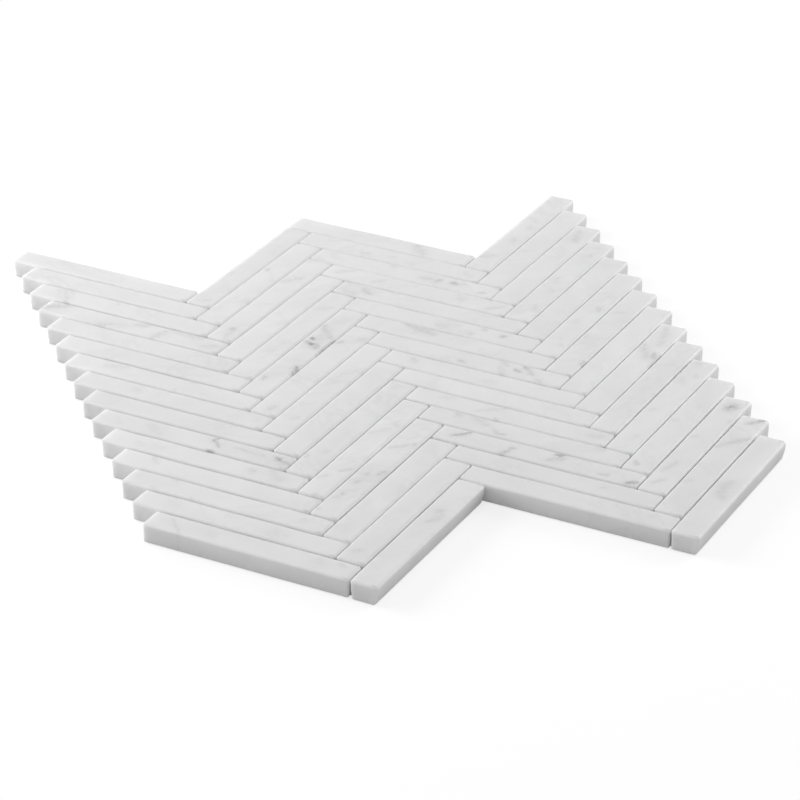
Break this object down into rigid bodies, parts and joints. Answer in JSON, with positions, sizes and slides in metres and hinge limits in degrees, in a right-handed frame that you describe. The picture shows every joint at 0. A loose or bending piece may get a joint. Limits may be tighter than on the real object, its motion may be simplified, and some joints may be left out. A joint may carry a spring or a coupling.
{
  "type": "marble mosaic tile",
  "caption": "Herringbone mosaic sheet of white marble strips with open joints, toothed sides and vee-notched ends, held by a net on its back, for tiling walls and floors.",
  "frame": {"origin": "middle of the sheet's box, on the underside of the backing net", "axes": "+X across the columns of strips, +Y along the columns, +Z out of the honed face"},
  "size_m": [0.2974, 0.3734, 0.0095],
  "materials": {
    "marble": "honed, faint grey veins",
    "net": "glass fibre net, matt"
  },
  "bodies": {
    "root": {"left_strip_pair_01": "marble", "left_strip_pair_02": "marble", "left_strip_pair_03": "marble", "left_strip_pair_04": "marble", "left_strip_pair_05": "marble", "left_strip_pair_06": "marble", "left_strip_pair_07": "marble", "left_strip_pair_08": "marble", "left_strip_pair_09": "marble", "left_strip_pair_10": "marble", "left_strip_pair_11": "marble", "left_strip_pair_12": "marble", "left_strip_pair_13": "marble", "left_strip_pair_14": "marble", "left_strip_pair_15": "marble", "right_strip_pair_01": "marble", "right_strip_pair_02": "marble", "right_strip_pair_03": "marble", "right_strip_pair_04": "marble", "right_strip_pair_05": "marble", "right_strip_pair_06": "marble", "right_strip_pair_07": "marble", "right_strip_pair_08": "marble", "right_strip_pair_09": "marble", "right_strip_pair_10": "marble", "right_strip_pair_11": "marble", "right_strip_pair_12": "marble", "right_strip_pair_13": "marble", "right_strip_pair_14": "marble", "right_strip_pair_15": "marble", "backing_net": "net"}
  },
  "joints": []
}
